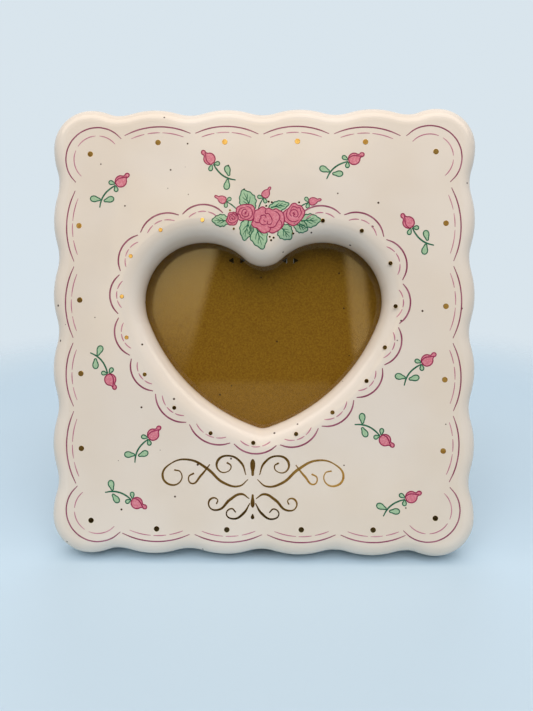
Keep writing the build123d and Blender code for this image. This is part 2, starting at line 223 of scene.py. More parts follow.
def ribbon(points, width, closed=False, swell=None, steps=CURVE_STEPS):
    """A drawn line as a flat strip; swell gives the share of the width at each point."""
    curve = new_curve(points, closed)
    shape = curve.data
    shape.dimensions = "3D"
    shape.twist_mode = "Z_UP"
    shape.extrude = width * MM / 2
    shape.resolution_u = steps
    knots = shape.splines[0].bezier_points
    for i, knot in enumerate(knots):
        knot.tilt = pi / 2
        at_end = not closed and i in (0, len(knots) - 1)
        knot.radius = swell[i] if swell else (LINE_END_SHARE if at_end else 1.0)
    bpy.ops.object.convert(target="MESH")
    return face_up(bpy.context.object)


def patch(points, steps=CURVE_STEPS):
    """A closed outline filled in."""
    curve = new_curve(points, True)
    curve.data.dimensions = "2D"
    curve.data.fill_mode = "BOTH"
    curve.data.resolution_u = steps
    bpy.ops.object.convert(target="MESH")
    return face_up(bpy.context.object)


def joined(pieces, name):
    """Joins drawings into one named piece."""
    active_alone(pieces[0])
    for piece in pieces:
        piece.select_set(True)
    bpy.ops.object.join()
    whole = bpy.context.object
    whole.name = name
    whole.data.name = name
    return whole


def copy_of(piece, matrix):
    """A copy with its own mesh, moved within the flat drawing."""
    active_alone(piece)
    bpy.ops.object.duplicate()
    twin = bpy.context.object
    twin.matrix_world = matrix @ twin.matrix_world
    bpy.ops.object.transform_apply(location=True, rotation=True, scale=True)
    return face_up(twin)


def give_enamel(piece, material):
    """Gives a fired print its enamel; it rides on the frame."""
    piece.data.materials.clear()
    piece.data.materials.append(material)
    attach(piece, "frame")


def fire_on(piece, lift, material):
    """Stands a flat drawing against the face, lets it follow the glaze and gives it some thickness."""
    active_alone(piece)
    piece.matrix_world = face_to_frame @ Matrix.Translation((0.0, 0.0, STAND_OFF * MM))
    wrap = piece.modifiers.new("on_glaze", "SHRINKWRAP")
    wrap.target = ceramic
    wrap.wrap_method = "PROJECT"
    wrap.use_project_z = True
    wrap.use_positive_direction = False
    wrap.use_negative_direction = True
    bpy.ops.object.modifier_apply(modifier=wrap.name)
    coat = piece.modifiers.new("enamel", "SOLIDIFY")
    coat.thickness = (lift + ENAMEL_SINK) * MM
    coat.offset = (lift - ENAMEL_SINK) / (lift + ENAMEL_SINK)
    bpy.ops.object.modifier_apply(modifier=coat.name)
    bpy.ops.object.transform_apply(location=True, rotation=True, scale=True)
    bpy.ops.object.shade_smooth_by_angle(angle=SHADING_ANGLE)
    give_enamel(piece, material)


def arc_between(start, end, bulge):
    """Centre, radius and end angles of an arc that bulges by that much to the right of its way."""
    chord = dist(start, end)
    right = ((end[1] - start[1]) / chord, (start[0] - end[0]) / chord)
    radius = (chord**2 / 4 + bulge**2) / (2 * bulge)
    drop = radius - bulge
    centre = ((start[0] + end[0]) / 2 - right[0] * drop, (start[1] + end[1]) / 2 - right[1] * drop)
    first = atan2(start[1] - centre[1], start[0] - centre[0])
    last = atan2(end[1] - centre[1], end[0] - centre[0])
    return centre, radius, first, last + 2 * pi if last < first else last


def along_arc(arc, count, low=0.0, high=1.0, inset=0.0):
    """Points on a share of an arc, or inside it by an inset."""
    centre, radius, first, last = arc
    reach = radius - inset
    shares = [low + (high - low) * i / (count - 1) for i in range(count)]
    angles = [first + (last - first) * share for share in shares]
    return [(centre[0] + reach * cos(angle), centre[1] + reach * sin(angle)) for angle in angles]


def dashed(arc, dashes, count, inset, width):
    """The broken line inside an arc, as one ribbon for each dash."""
    return [ribbon(along_arc(arc, count, *dash, inset), width) for dash in dashes]


def shortened(start, end, cut):
    """A run with a cut taken off each end."""
    length = dist(start, end)
    step = ((end[0] - start[0]) / length * cut, (end[1] - start[1]) / length * cut)
    return (start[0] + step[0], start[1] + step[1]), (end[0] - step[0], end[1] - step[1])


def print_grain():
    """Node group: the slightly uneven ink of a screen-printed transfer."""
    group = bpy.data.node_groups.new("print_grain", "ShaderNodeTree")
    sockets = group.interface
    sockets.new_socket("Full", in_out="INPUT", socket_type="NodeSocketColor")
    sockets.new_socket("Thin", in_out="INPUT", socket_type="NodeSocketColor")
    sockets.new_socket("Scale", in_out="INPUT", socket_type="NodeSocketFloat")
    sockets.new_socket("Color", in_out="OUTPUT", socket_type="NodeSocketColor")
    given = group.nodes.new("NodeGroupInput")
    result = group.nodes.new("NodeGroupOutput")
    uneven = ramped(group, clouds(group, given.outputs["Scale"], INK_DETAIL), *INK_RANGE)
    ink = mixed(group, uneven, given.outputs["Full"], given.outputs["Thin"])
    group.links.new(ink, result.inputs["Color"])
    return group


grain_group = print_grain()


def enamel(name, full, thin, grain, roughness=ENAMEL_ROUGHNESS, metallic=0.0):
    """Fired enamel or lustre in two strengths of one colour."""
    material, tree, shader = new_finish(name)
    ink = add_node(tree, "ShaderNodeGroup", {"node_tree": grain_group}, Full=full, Thin=thin, Scale=grain)
    tree.links.new(ink.outputs["Color"], shader.inputs["Base Color"])
    shader.inputs["Roughness"].default_value = roughness
    shader.inputs["Metallic"].default_value = metallic
    return material


mauve_enamel = enamel("mauve_enamel", MAUVE, MAUVE_THIN, MAUVE_GRAIN)
pink_enamel = enamel("pink_enamel", PINK, PINK_THIN, PINK_GRAIN)
border_arcs = []
for side in BORDER_CUSPS:
    for start, end in zip(side, side[1:]):
        span = shortened(start, end, LINE_GAP / 2)
        border_arcs.append(arc_between(*span, BORDER_BULGE * dist(start, end)))
corner_arcs = []
for i, centre in enumerate(CORNER_CENTRES):
    middle = CORNER_TURN + i * pi / 2
    corner_arcs.append((centre, CORNER_RADIUS, middle - CORNER_HALF_SPAN, middle + CORNER_HALF_SPAN))
lines = [ribbon(along_arc(arc, LINE_POINTS), LINE_WIDTH) for arc in border_arcs]
lines += [ribbon(along_arc(arc, CORNER_POINTS), LINE_WIDTH) for arc in corner_arcs]
fire_on(joined(lines, "border_scallop_lines"), LINE_LIFT, mauve_enamel)
dashes = []
for arc in border_arcs:
    dashes += dashed(arc, SIDE_DASHES, DASH_POINTS, DASH_INSET, DASH_WIDTH)
for arc in corner_arcs:
    dashes += dashed(arc, CORNER_DASHES, CORNER_DASH_POINTS, CORNER_DASH_INSET, DASH_WIDTH)
fire_on(joined(dashes, "border_dashes"), DASH_LIFT, pink_enamel)

# Scallop lines round the heart window: seventeen smaller arcs of the same two enamels, from one side of
# the rose spray round to the other. The transfer was laid by hand, so it lies a little out of true.
HEART_CUSPS = [
    (-16.6, 152.8),
    (-36.3, 152.2),
    (-54.9, 143.8),
    (-63.4, 126.3),
    (-64.0, 107.2),
    (-58.5, 88.9),
    (-47.9, 73.2),
    (-32.9, 59.5),
    (-13.2, 50.7),
    (7.3, 50.0),
    (25.7, 58.2),
    (41.1, 70.8),
    (53.5, 85.0),
    (60.2, 103.1),
    (61.9, 122.3),
    (54.1, 141.7),
    (35.2, 152.2),
    (15.5, 151.4),
]
HEART_BULGE = 4.0
FULL_BULGE = 5.0
FULL_ARCS = (14, 15)
HEART_LINE_WIDTH = 0.7
HEART_DASH_WIDTH = 0.52
HEART_GAP = 1.7
HEART_DASH_INSET = 3.0
HEART_DASHES = [(0.05, 0.34), (0.4, 0.64), (0.69, 0.95)]
heart_arcs = []
for i, (start, end) in enumerate(zip(HEART_CUSPS, HEART_CUSPS[1:])):
    bulge = FULL_BULGE if i in FULL_ARCS else HEART_BULGE
    heart_arcs.append(arc_between(*shortened(start, end, HEART_GAP / 2), bulge))
lines = [ribbon(along_arc(arc, LINE_POINTS), HEART_LINE_WIDTH) for arc in heart_arcs]
fire_on(joined(lines, "heart_scallop_lines"), LINE_LIFT, mauve_enamel)
dashes = []
for arc in heart_arcs:
    dashes += dashed(arc, HEART_DASHES, DASH_POINTS, HEART_DASH_INSET, HEART_DASH_WIDTH)
fire_on(joined(dashes, "heart_dashes"), DASH_LIFT, pink_enamel)

# Gold dots: bright gold lustre, a thin flat dot about the middle of each scallop and corner, painted on
# last, by hand, and fired on its own. A dot is a ball that is cut at two shares of its radius, its foot
# and its top, and then pressed flat by its rise.
BORDER_DOTS = [
    [(80.5, 148.0), (80.6, 111.6), (80.2, 79.4), (79.6, 48.1), (76.3, 18.5)],
    [(49.1, 13.1), (17.5, 12.9), (-15.4, 12.6), (-46.6, 12.7), (-75.9, 16.2)],
    [(-80.3, 48.2), (-80.6, 81.5), (-81.2, 114.2), (-81.6, 147.2), (-76.6, 179.0)],
    [(-46.4, 184.0), (-16.8, 184.1), (15.3, 184.2), (45.2, 183.8), (76.0, 179.4)],
]
HEART_DOTS = [
    (-26.6, 149.7),
    (-45.2, 145.3),
    (-58.5, 133.7),
    (-62.4, 115.8),
    (-60.2, 97.6),
    (-52.1, 81.2),
    (-38.9, 66.5),
    (-22.7, 55.3),
    (-3.8, 51.2),
    (15.1, 55.2),
    (31.1, 64.8),
    (46.0, 78.7),
    (54.0, 93.5),
    (58.6, 111.6),
    (56.3, 130.5),
    (43.7, 144.8),
    (26.6, 149.3),
]
BORDER_DOT_RADIUS = 1.27
HEART_DOT_RADIUS = 0.95
DOT_RISE = 0.05
DOT_FOOT = 0.02
DOT_TOP = 0.4
DOT_SINK = 0.005
DOT_SEGMENTS = 24
DOT_RINGS = 12
GOLD = tone(232, 207, 152)
GOLD_WORN = tone(212, 178, 118)
GOLD_GRAIN = 500.0
GOLD_ROUGHNESS = 0.09
lustre_gold = enamel("lustre_gold", GOLD, GOLD_WORN, GOLD_GRAIN, GOLD_ROUGHNESS, metallic=1.0)


def bead(radius):
    """One thin dot on the flat drawing, with a rounded edge and a flat top, closed underneath."""
    bpy.ops.object.select_all(action="DESELECT")
    bpy.ops.mesh.primitive_uv_sphere_add(segments=DOT_SEGMENTS, ring_count=DOT_RINGS, radius=radius * MM)
    dot = bpy.context.object
    bpy.ops.object.mode_set(mode="EDIT")
    for share, kept_side in ((DOT_FOOT, 1), (DOT_TOP, -1)):
        cut = (0, 0, radius * MM * share)
        bpy.ops.mesh.select_all(action="SELECT")
        bpy.ops.mesh.bisect(plane_co=cut, plane_no=(0, 0, kept_side), clear_inner=True, use_fill=True)
    bpy.ops.object.mode_set(mode="OBJECT")
    dot.scale = (1.0, 1.0, DOT_RISE)
    bpy.ops.object.transform_apply(location=False, rotation=False, scale=True)
    bpy.ops.object.shade_flat()
    return dot


def beads_on(places, radius, name):
    """Copies of one bead on the face, as one piece."""
    first = bead(radius)
    dots = []
    for across, up in places:
        active_alone(first)
        bpy.ops.object.duplicate()
        dot = bpy.context.object
        dot.location = (across * MM, up * MM, -DOT_SINK * MM)
        bpy.ops.object.transform_apply(location=True, rotation=False, scale=False)
        dots.append(dot)
    bpy.data.objects.remove(first)
    row = joined(dots, name)
    row.matrix_world = face_to_frame
    bpy.ops.object.transform_apply(location=True, rotation=True, scale=True)
    give_enamel(row, lustre_gold)


beads_on([dot for side in BORDER_DOTS for dot in side], BORDER_DOT_RADIUS, "border_gold_dots")
beads_on(HEART_DOTS, HEART_DOT_RADIUS, "heart_gold_dots")

# Rosebud sprigs: ten copies of one small transfer, scattered on the face. A round pink bud with one folded
# petal and a pinched tip, a bowed stem, two sepals and two leaves, outlined in darker enamel.
# Each leaf and sepal goes from its base to its end, and has half its width.
BUD_OUTLINE = [
    (-0.5, -2.5),
    (-1.9, -1.7),
    (-2.5, 0.0),
    (-1.85, 1.65),
    (-0.7, 2.4),
    (-0.3, 2.9),
    (-0.4, 3.8),
    (0.15, 4.6),
    (1.0, 4.6),
    (1.4, 3.8),
    (1.15, 2.9),
    (1.35, 2.2),
    (2.1, 1.35),
    (2.5, 0.0),
    (1.9, -1.7),
    (0.7, -2.5),
]
BUD_FOLD = [(-1.55, -2.15), (-1.6, -0.2), (-0.6, 1.5), (0.45, 2.6), (1.0, 3.35)]
FOLD_SWELL = [0.6, 1.0, 1.1, 1.0, 0.8]
STEM = [(-0.7, -2.9), (-1.6, -5.6), (-2.0, -8.8), (-1.45, -12.0), (0.0, -15.0)]
STEM_SWELL = [0.8, 1.0, 1.0, 1.0, 0.7]
TEARDROP_EDGE = [(0.0, 0.0), (0.3, 0.62), (0.62, 1.0), (0.9, 0.72), (1.0, 0.0)]
SPRIG_LEAVES = [((-2.0, -12.1), (-5.8, -14.4), 1.25), ((-0.3, -11.5), (2.3, -7.9), 1.2)]
SPRIG_SEPALS = [((-1.4, -2.5), (-3.9, -3.6), 0.85), ((-0.5, -3.1), (1.3, -4.8), 0.85)]
SPRIG_PLACES = [
    (-62.9, 166.9, 51),
    (-23.6, 176.7, 141),
    (40.3, 176.4, 36),
    (64.1, 148.4, 138),
    (72.5, 87.9, 48),
    (54.2, 52.7, -27),
    (65.8, 27.8, 35),
    (-67.4, 78.8, -53),
    (-48.2, 54.6, 57),
    (-55.4, 24.1, -18),
]
OUTLINE_WIDTH = 0.5
STEM_WIDTH = 0.72
LEAF_LIFT = 0.03
STEM_LIFT = 0.045
PETAL_LIFT = 0.035
PETAL_LINE_LIFT = 0.055
ROSE_PINK = tone(213, 121, 138)
ROSE_LIGHT = tone(226, 148, 160)
CRIMSON = tone(146, 36, 78)
CRIMSON_THIN = tone(166, 60, 98)
LEAF_GREEN = tone(160, 193, 156)
LEAF_LIGHT = tone(178, 208, 172)
STEM_GREEN = tone(34, 98, 72)
STEM_THIN = tone(60, 120, 92)
FILL_GRAIN = 1400.0
OUTLINE_GRAIN = 600.0


def both_sides(half):
    """A half outline from base to end, and its mirrored way back."""
    return half + [(along, -aside) for along, aside in half[-2:0:-1]]


def along_leaf(base, end, half_width, profile):
    """A profile of shares of length and half width, set along a leaf."""
    length = dist(base, end)
    ahead = ((end[0] - base[0]) / length, (end[1] - base[1]) / length)
    placed = []
    for along, aside in profile:
        on = length * along
        off = half_width * aside
        placed.append((base[0] + ahead[0] * on - ahead[1] * off, base[1] + ahead[1] * on + ahead[0] * off))
    return placed


def bud_place(across, up, degrees_round):
    """Where a bud drawn upright about its own middle goes."""
    turn = Matrix.Rotation(radians(degrees_round - 90), 4, "Z")
    return Matrix.Translation((across * MM, up * MM, 0.0)) @ turn


teardrop = both_sides(TEARDROP_EDGE)
sprig_outlines = [along_leaf(*leaf, teardrop) for leaf in SPRIG_LEAVES + SPRIG_SEPALS]
sprig_matrices = [bud_place(*place) for place in SPRIG_PLACES]
bud_fill = patch(BUD_OUTLINE)
bud_outline = ribbon(BUD_OUTLINE, OUTLINE_WIDTH, closed=True)
bud_fold = ribbon(BUD_FOLD, OUTLINE_WIDTH, swell=FOLD_SWELL)
bud_lines = joined([bud_outline, bud_fold], "bud_lines")
leaf_fill = joined([patch(outline) for outline in sprig_outlines], "leaf_fill")
stem_lines = [ribbon(STEM, STEM_WIDTH, swell=STEM_SWELL)]
stem_lines += [ribbon(outline, OUTLINE_WIDTH, closed=True) for outline in sprig_outlines]
leaf_lines = joined(stem_lines, "leaf_lines")
rose_enamel = enamel("rose_enamel", ROSE_PINK, ROSE_LIGHT, FILL_GRAIN)
crimson_enamel = enamel("crimson_enamel", CRIMSON, CRIMSON_THIN, OUTLINE_GRAIN)
leaf_enamel = enamel("leaf_enamel", LEAF_GREEN, LEAF_LIGHT, FILL_GRAIN)
stem_enamel = enamel("stem_enamel", STEM_GREEN, STEM_THIN, OUTLINE_GRAIN)
for template, name, lift, material in (
    (bud_fill, "rosebud_petals", PETAL_LIFT, rose_enamel),
    (bud_lines, "rosebud_outlines", PETAL_LINE_LIFT, crimson_enamel),
    (leaf_fill, "rosebud_leaves", LEAF_LIFT, leaf_enamel),
    (leaf_lines, "rosebud_stems", STEM_LIFT, stem_enamel),
):
    fire_on(joined([copy_of(template, matrix) for matrix in sprig_matrices], name), lift, material)
    bpy.data.objects.remove(template)

# Rose spray: one larger transfer over the cleft of the heart. Eight toothed leaves lie lowest, then three
# buds and three small roses, and the large rose over them all; a few gold specks fill the gaps.
# A rose has its middle, its half sizes across and up, and its turn, if any.
SPRAY_LEAVES = [
    ((-4.4, 153.6), (-8.9, 162.9), 3.7),
    ((-14.4, 149.4), (-22.4, 149.5), 2.7),
    ((-5.9, 151.0), (-8.1, 140.7), 3.1),
    ((-3.6, 148.6), (0.2, 136.8), 3.9),
    ((7.3, 147.0), (12.7, 141.6), 3.5),
    ((14.0, 148.0), (20.0, 145.4), 2.7),
    ((16.0, 149.0), (25.7, 149.6), 3.0),
    ((2.8, 154.8), (11.7, 156.7), 2.3),
]
LEAF_EDGE = [
    (0.0, 0.0),
    (0.13, 0.62),
    (0.2, 0.62),
    (0.33, 0.96),
    (0.41, 0.9),
    (0.55, 1.0),
    (0.62, 0.85),
    (0.77, 0.72),
    (0.84, 0.48),
    (1.0, 0.0),
]
LEAF_VEINS = [
    ([(0.1, 0.0), (0.35, 0.05), (0.6, 0.0), (0.85, 0.02)], [1.5, 1.2, 0.8, 0.5]),
    ([(0.3, 0.05), (0.42, 0.3), (0.55, 0.48)], [1.0, 0.9, 0.5]),
    ([(0.5, 0.03), (0.6, 0.24), (0.72, 0.36)], [0.9, 0.8, 0.5]),
    ([(0.36, 0.0), (0.48, -0.28), (0.6, -0.48)], [1.0, 0.9, 0.5]),
    ([(0.56, 0.0), (0.66, -0.2), (0.77, -0.3)], [0.9, 0.8, 0.5]),
]
LEAF_LINE_WIDTH = 0.46
LEAF_STEPS = 3
VEIN_WIDTH = 0.42
SPRAY_LOW = (-24.0, 135.0)
SPRAY_HIGH = (27.0, 164.0)
CUT_STEP = 1.3
SPRAY_BUDS = [
    ((-18.0, 158.7, 156), (-11.0, 153.9)),
    ((1.5, 161.2, 58), (-2.2, 153.6)),
    ((22.4, 157.8, 14), (16.0, 155.0)),
]
SMALL_BUD = [
    (0.0, -1.9),
    (-1.25, -1.5),
    (-1.65, -0.3),
    (-1.25, 1.0),
    (-0.5, 1.9),
    (-0.35, 3.1),
    (0.1, 3.5),
    (0.55, 3.1),
    (0.6, 1.9),
    (1.3, 0.9),
    (1.6, -0.3),
    (1.25, -1.5),
]
SMALL_SEPALS = [((0.2, -2.2), (2.2, -3.4), 0.75), ((-0.2, -2.2), (-2.5, -3.0), 0.75)]
BUD_LINE_WIDTH = 0.4
BUD_STEM_WIDTH = 0.6
BUD_STEM_BEND = 0.55
SIDE_ROSES = [
    ((-13.3, 150.2), 2.9, 2.9, 0.5),
    ((-7.4, 152.9), 4.3, 4.3, 2.4),
    ((13.9, 152.0), 4.7, 4.9, 0.0),
]
SIDE_EDGE = [
    (-1.0, 0.15),
    (-0.84, 0.34),
    (-0.55, 0.52),
    (-0.35, 0.74),
    (-0.2, 0.93),
    (0.1, 1.0),
    (0.32, 0.85),
    (0.66, 0.76),
    (0.84, 0.53),
    (1.0, 0.27),
    (0.95, 0.0),
    (0.84, -0.26),
    (0.62, -0.54),
    (0.28, -0.86),
    (-0.02, -1.0),
    (-0.3, -0.95),
    (-0.57, -0.78),
    (-0.86, -0.6),
    (-0.95, -0.3),
]
SIDE_PETALS = [
    [(-0.59, 0.4), (-0.7, 0.12), (-0.7, -0.16), (-0.57, -0.39), (-0.35, -0.57), (0.0, -0.66), (0.46, -0.5)],
    [
        (-0.3, 0.5), (-0.12, 0.68), (0.11, 0.68), (0.3, 0.58),
        (0.5, 0.62), (0.62, 0.38), (0.68, 0.1), (0.4, -0.32),
    ],
    [(-0.3, 0.52), (-0.28, 0.36), (-0.38, 0.2), (-0.38, 0.0), (-0.22, -0.18)],
    [(-0.28, 0.31), (-0.08, 0.43), (0.12, 0.42), (0.31, 0.25), (0.38, 0.04), (0.28, -0.2), (0.08, -0.24)],
    [(0.08, -0.24), (-0.05, -0.1), (0.08, 0.04), (-0.1, 0.08), (0.08, 0.24)],
]
SIDE_EDGE_WIDTH = 0.46
SIDE_PETAL_WIDTH = 0.42
SIDE_ROSE_LIFT = 0.06
SIDE_LINE_LIFT = 0.075
LARGE_ROSE = ((2.4, 149.6), 7.2, 5.8)
LARGE_EDGE = [
    (-0.99, -0.27),
    (-0.87, 0.04),
    (-0.86, 0.44),
    (-0.77, 0.69),
    (-0.59, 0.81),
    (-0.32, 1.0),
    (-0.1, 0.85),
    (0.05, 0.89),
    (0.3, 0.76),
    (0.48, 0.85),
    (0.67, 0.73),
    (0.88, 0.58),
    (1.0, 0.2),
    (0.98, -0.23),
    (0.9, -0.5),
    (0.52, -0.88),
    (0.25, -1.0),
    (0.05, -0.9),
    (-0.22, -1.0),
    (-0.46, -0.88),
    (-0.67, -0.62),
    (-0.89, -0.52),
]
LARGE_PETALS = [
    [(-0.1, 0.85), (-0.17, 0.62), (-0.12, 0.48), (0.02, 0.48), (0.14, 0.32), (0.25, 0.02), (0.25, -0.18)],
    [(0.25, -0.18), (0.16, -0.33), (0.04, -0.35), (-0.03, -0.26), (0.0, -0.06)],
    [
        (0.38, 0.67), (0.55, 0.58), (0.68, 0.4), (0.73, 0.17),
        (0.58, -0.18), (0.4, -0.52), (0.16, -0.58), (0.0, -0.5),
    ],
    [(0.73, 0.0), (0.83, -0.19), (0.86, -0.4), (0.77, -0.62)],
    [(0.14, -0.58), (0.15, -0.7), (0.05, -0.9)],
    [(-0.84, -0.08), (-0.7, -0.2), (-0.51, -0.21), (-0.39, -0.33), (-0.22, -0.38), (-0.03, -0.28)],
    [(-0.52, -0.2), (-0.51, 0.0), (-0.43, 0.16), (-0.43, 0.3), (-0.3, 0.36), (-0.18, 0.35), (-0.1, 0.14)],
    [(-0.27, 0.05), (-0.23, -0.08), (-0.12, -0.13)],
]
LARGE_EDGE_WIDTH = 0.48
LARGE_PETAL_WIDTH = 0.46
LARGE_ROSE_LIFT = 0.09
LARGE_LINE_LIFT = 0.105
GOLD_SPECKS = [
    (-14.4, 153.9),
    (-12.7, 145.8),
    (3.2, 142.2),
    (4.9, 141.8),
    (3.8, 140.7),
    (13.6, 143.6),
    (16.1, 157.3),
    (4.1, 157.4),
    (1.6, 155.8),
    (2.7, 157.7),
]
GOLD_SPECK_RADIUS = 0.5


def on_rose(points, middle, half_across, half_up, turn=0.0):
    """Points given as shares of a rose's half sizes, turned and set on the face."""
    placed = []
    for across, up in points:
        turned = (across * cos(turn) - up * sin(turn), across * sin(turn) + up * cos(turn))
        placed.append((middle[0] + half_across * turned[0], middle[1] + half_up * turned[1]))
    return placed


def cut_fine(piece, low, high, step):
    """Cuts a flat drawing on a grid so that it can follow a rounded surface."""
    active_alone(piece)
    bpy.ops.object.mode_set(mode="EDIT")
    for axis in (0, 1):
        place = low[axis]
        while place < high[axis]:
            plane = [0.0, 0.0, 0.0]
            plane[axis] = place * MM
            bpy.ops.mesh.select_all(action="SELECT")
            bpy.ops.mesh.bisect(plane_co=plane, plane_no=(1 - axis, axis, 0))
            place += step
    bpy.ops.object.mode_set(mode="OBJECT")


whole_leaf = both_sides(LEAF_EDGE)
leaf_outlines = [along_leaf(*leaf, whole_leaf) for leaf in SPRAY_LEAVES]
sepal_outlines = [along_leaf(*sepal, teardrop) for sepal in SMALL_SEPALS]
sepal_edges = [ribbon(outline, BUD_LINE_WIDTH, closed=True) for outline in sepal_outlines]
sepal_lines = joined(sepal_edges, "sepal_lines")
sepal_fill = joined([patch(outline) for outline in sepal_outlines], "sepal_fill")
small_bud = patch(SMALL_BUD)
small_bud_lines = ribbon(SMALL_BUD, BUD_LINE_WIDTH, closed=True)
bud_matrices = [bud_place(*place) for place, stem_end in SPRAY_BUDS]
leaves = [patch(outline, LEAF_STEPS) for outline in leaf_outlines]
leaves += [copy_of(sepal_fill, matrix) for matrix in bud_matrices]
veins = [ribbon(outline, LEAF_LINE_WIDTH, closed=True, steps=LEAF_STEPS) for outline in leaf_outlines]
veins += [copy_of(sepal_lines, matrix) for matrix in bud_matrices]
for leaf in SPRAY_LEAVES:
    veins += [ribbon(along_leaf(*leaf, run), VEIN_WIDTH, swell=swell) for run, swell in LEAF_VEINS]
bud_foot = Vector((*SMALL_BUD[0], 0.0)) * MM
for matrix, (place, stem_end) in zip(bud_matrices, SPRAY_BUDS):
    start = (matrix @ bud_foot) / MM
    bend_across = start.x + BUD_STEM_BEND * (stem_end[0] - start.x)
    bend_up = stem_end[1] + BUD_STEM_BEND * (start.y - stem_end[1])
    veins.append(ribbon([start[:2], (bend_across, bend_up), stem_end], BUD_STEM_WIDTH))
roses = [copy_of(small_bud, matrix) for matrix in bud_matrices]
petals = [copy_of(small_bud_lines, matrix) for matrix in bud_matrices]
for template in (sepal_fill, sepal_lines, small_bud, small_bud_lines):
    bpy.data.objects.remove(template)
for rose in SIDE_ROSES:
    side_edge = on_rose(SIDE_EDGE, *rose)
    roses.append(patch(side_edge))
    petals.append(ribbon(side_edge, SIDE_EDGE_WIDTH, closed=True))
    petals += [ribbon(on_rose(line, *rose), SIDE_PETAL_WIDTH) for line in SIDE_PETALS]
large_edge = on_rose(LARGE_EDGE, *LARGE_ROSE)
large_lines = [ribbon(large_edge, LARGE_EDGE_WIDTH, closed=True)]
large_lines += [ribbon(on_rose(line, *LARGE_ROSE), LARGE_PETAL_WIDTH) for line in LARGE_PETALS]
spray_leaves = joined(leaves, "spray_leaves")
cut_fine(spray_leaves, SPRAY_LOW, SPRAY_HIGH, CUT_STEP)
fire_on(spray_leaves, LEAF_LIFT, leaf_enamel)
fire_on(joined(veins, "spray_leaf_veins"), STEM_LIFT, stem_enamel)
fire_on(joined(roses, "spray_small_roses"), SIDE_ROSE_LIFT, rose_enamel)
fire_on(joined(petals, "spray_small_rose_lines"), SIDE_LINE_LIFT, crimson_enamel)
fire_on(joined([patch(large_edge)], "spray_large_rose"), LARGE_ROSE_LIFT, rose_enamel)
fire_on(joined(large_lines, "spray_large_rose_lines"), LARGE_LINE_LIFT, crimson_enamel)
beads_on(GOLD_SPECKS, GOLD_SPECK_RADIUS, "spray_gold_specks")

# Gold flourish: pairs of mirrored pen scrolls under the heart, thick on the down strokes and thin on the
# turns, with three drops between them. They are drawn in the same lustre gold as the dots.
# A stroke has its points, out from the middle and up, and its share of the pen's width at each.
FLOURISH_MIDDLE = (-4.0, 38.0)
FLOURISH_STROKES = [
    (
        [
            (2, -3), (6, -6), (13, -4.5), (20, 1.5), (28, 5.5), (36, 4),
            (40, -1.5), (36.5, -5.6), (32, -4), (32, 0), (34.8, 1),
        ],
        [0.3, 0.7, 1.0, 1.1, 0.8, 0.5, 0.9, 0.8, 0.5, 0.45, 0.6],
    ),
    (
        [(3, -1), (5, 4.2), (10.5, 7.4), (15.5, 5.2), (15, 0.9), (11.3, 0.3), (9.6, 2.8), (11.5, 4.4)],
        [0.35, 0.9, 0.7, 1.0, 0.6, 0.4, 0.5, 0.7],
    ),
    (
        [(19, 3.5), (23, -1.5), (27, -5), (28.4, -2.2), (26, -0.4)],
        [0.4, 0.9, 0.6, 0.5, 0.7],
    ),
    (
        [
            (1.5, -11.5), (5, -9.5), (10, -12), (15, -16.5),
            (19, -15.5), (18.6, -11.8), (15.6, -12), (16, -14),
        ],
        [0.35, 0.9, 1.1, 0.8, 0.5, 0.8, 0.45, 0.6],
    ),
    (
        [(1.2, -13.5), (4, -18), (8.5, -20.5), (11.6, -18.4), (9.4, -16), (7.4, -17.6)],
        [0.4, 1.0, 0.7, 0.5, 0.6, 0.5],
    ),
]
FLOURISH_DROPS = [
    ((0.0, -1.5), (0.0, 6.0), 1.1),
    ((0.0, -9.5), (0.0, -15.5), 0.9),
    ((0.0, -18.2), (0.0, -20.6), 0.8),
]
PEN_WIDTH = 1.15
PEN_LIFT = 0.05
PEN_STEPS = 8
strokes = []
for side in (1, -1):
    for points, swell in FLOURISH_STROKES:
        run = [(FLOURISH_MIDDLE[0] + side * out, FLOURISH_MIDDLE[1] + up) for out, up in points]
        strokes.append(ribbon(run, PEN_WIDTH, swell=swell, steps=PEN_STEPS))
for drop in FLOURISH_DROPS:
    outline = along_leaf(*drop, teardrop)
    strokes.append(patch([(FLOURISH_MIDDLE[0] + out, FLOURISH_MIDDLE[1] + up) for out, up in outline]))
fire_on(joined(strokes, "gold_flourish"), PEN_LIFT, lustre_gold)

# Screw plugs: four short plugs of natural nylon, moulded, that the screws of the turn buttons bite in.
# Each is cemented into a socket in the ceramic.
NYLON = tone(226, 220, 204)
NYLON_SHADE = tone(210, 202, 184)
NYLON_ROUGHNESS = 0.42
NYLON_SCATTER = 0.15
NYLON_RADIUS = (1.0 * MM, 1.0 * MM, 0.8 * MM)
FLOW_CLOUDS = (260.0, 2.0)
FLOW_RANGE = (0.35, 0.7)
nylon, tree, shader = new_finish("nylon")
flow = ramped(tree, clouds(tree, *FLOW_CLOUDS), *FLOW_RANGE)
tree.links.new(mixed(tree, flow, NYLON, NYLON_SHADE), shader.inputs["Base Color"])
shader.inputs["Roughness"].default_value = NYLON_ROUGHNESS
shader.inputs["Subsurface Weight"].default_value = NYLON_SCATTER
shader.inputs["Subsurface Radius"].default_value = NYLON_RADIUS
wear_finish("screw_plugs", nylon)

# Glass pane: plain float glass, clear, cut to the pocket with its edges left as cut. It lies behind the
# heart window, held on its seat by the board, and is a little hazy from wiping.
GLASS_TINT = tone(250, 252, 250)
GLASS_IOR = 1.5
SMEAR_CLOUDS = (14.0, 3.0, 0.6)
HAZE_RANGE = (0.5, 0.8)
HAZE_ROUGHNESS = 0.012


def arithmetic(tree, operation, first, second):
    """Result of one sum on two links or numbers."""
    return add_node(tree, "ShaderNodeMath", {"operation": operation}, i0=first, i1=second).outputs[0]


